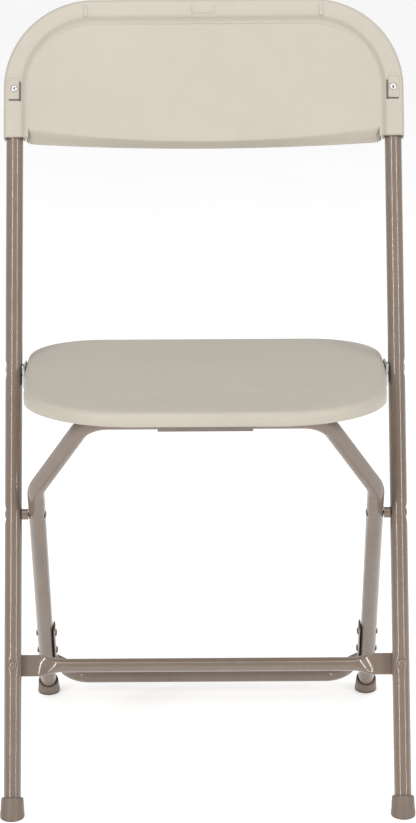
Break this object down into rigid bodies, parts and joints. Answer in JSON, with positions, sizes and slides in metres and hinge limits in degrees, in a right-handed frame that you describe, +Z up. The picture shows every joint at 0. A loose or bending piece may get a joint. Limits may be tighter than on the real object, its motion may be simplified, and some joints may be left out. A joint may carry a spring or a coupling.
{
  "type": "folding chair",
  "caption": "Folding chair with a tilted tube frame, crossed rear legs, and a moulded plastic seat and backrest.",
  "frame": {"origin": "on the floor, under the middle of the bounding box", "axes": "+X to the right as seen from the front, +Y to the rear, +Z up; the sitter faces -Y"},
  "size_m": [0.4524, 0.4222, 0.845],
  "materials": {
    "frame_paint": "satin powder coat, taupe",
    "seat_plastic": "fine texture, warm beige",
    "foot_caps": "moulded cap, taupe",
    "painted_rivets": "coated with the frame",
    "zinc_hardware": "zinc plated",
    "bright_screws": "bright plated"
  },
  "bodies": {
    "front_frame": {"front_frame_tube": "frame_paint", "backrest_shell": "seat_plastic", "backrest_screw_left": "bright_screws", "backrest_screw_right": "bright_screws", "front_crossbar": "frame_paint", "front_crossbar_rivet_left": "painted_rivets", "front_crossbar_rivet_right": "painted_rivets", "front_foot_left": "foot_caps", "front_foot_right": "foot_caps", "seat_pivot_bolt_left": "painted_rivets", "seat_pivot_bolt_right": "painted_rivets", "seat_pivot_nut_left": "zinc_hardware", "seat_pivot_nut_right": "zinc_hardware", "seat_pivot_washer_left": "zinc_hardware", "seat_pivot_washer_right": "zinc_hardware", "cross_pivot_rivet_left": "painted_rivets", "cross_pivot_rivet_right": "painted_rivets", "cross_pivot_spacer_left": "painted_rivets", "cross_pivot_spacer_right": "painted_rivets"},
    "rear_frame": {"rear_frame_tube": "frame_paint", "rear_brace": "frame_paint", "rear_brace_rivets_left": "painted_rivets", "rear_brace_rivets_right": "painted_rivets", "rear_foot_left": "foot_caps", "rear_foot_right": "foot_caps"},
    "seat": {"seat_shell": "seat_plastic", "seat_side_bracket_left": "zinc_hardware", "seat_side_bracket_right": "zinc_hardware", "side_bracket_screws_left": "zinc_hardware", "side_bracket_screws_right": "zinc_hardware", "stop_bracket": "zinc_hardware", "stop_bracket_screws": "zinc_hardware"}
  },
  "joints": [
    {"name": "seat_fold", "type": "hinge", "parent": "front_frame", "child": "seat", "pos_m": [0, 0.02698, 0.45335], "axis": [-1, 0, 0], "range_deg": [0, 104]},
    {"name": "rear_frame_fold", "type": "hinge", "parent": "front_frame", "child": "rear_frame", "pos_m": [0, -0.03463, 0.3046], "axis": [-1, 0, 0], "range_deg": [0, 48]}
  ],
  "couplings": [
    {"joint": "rear_frame_fold", "follows": "seat_fold", "ratio": 0.4615}
  ]
}
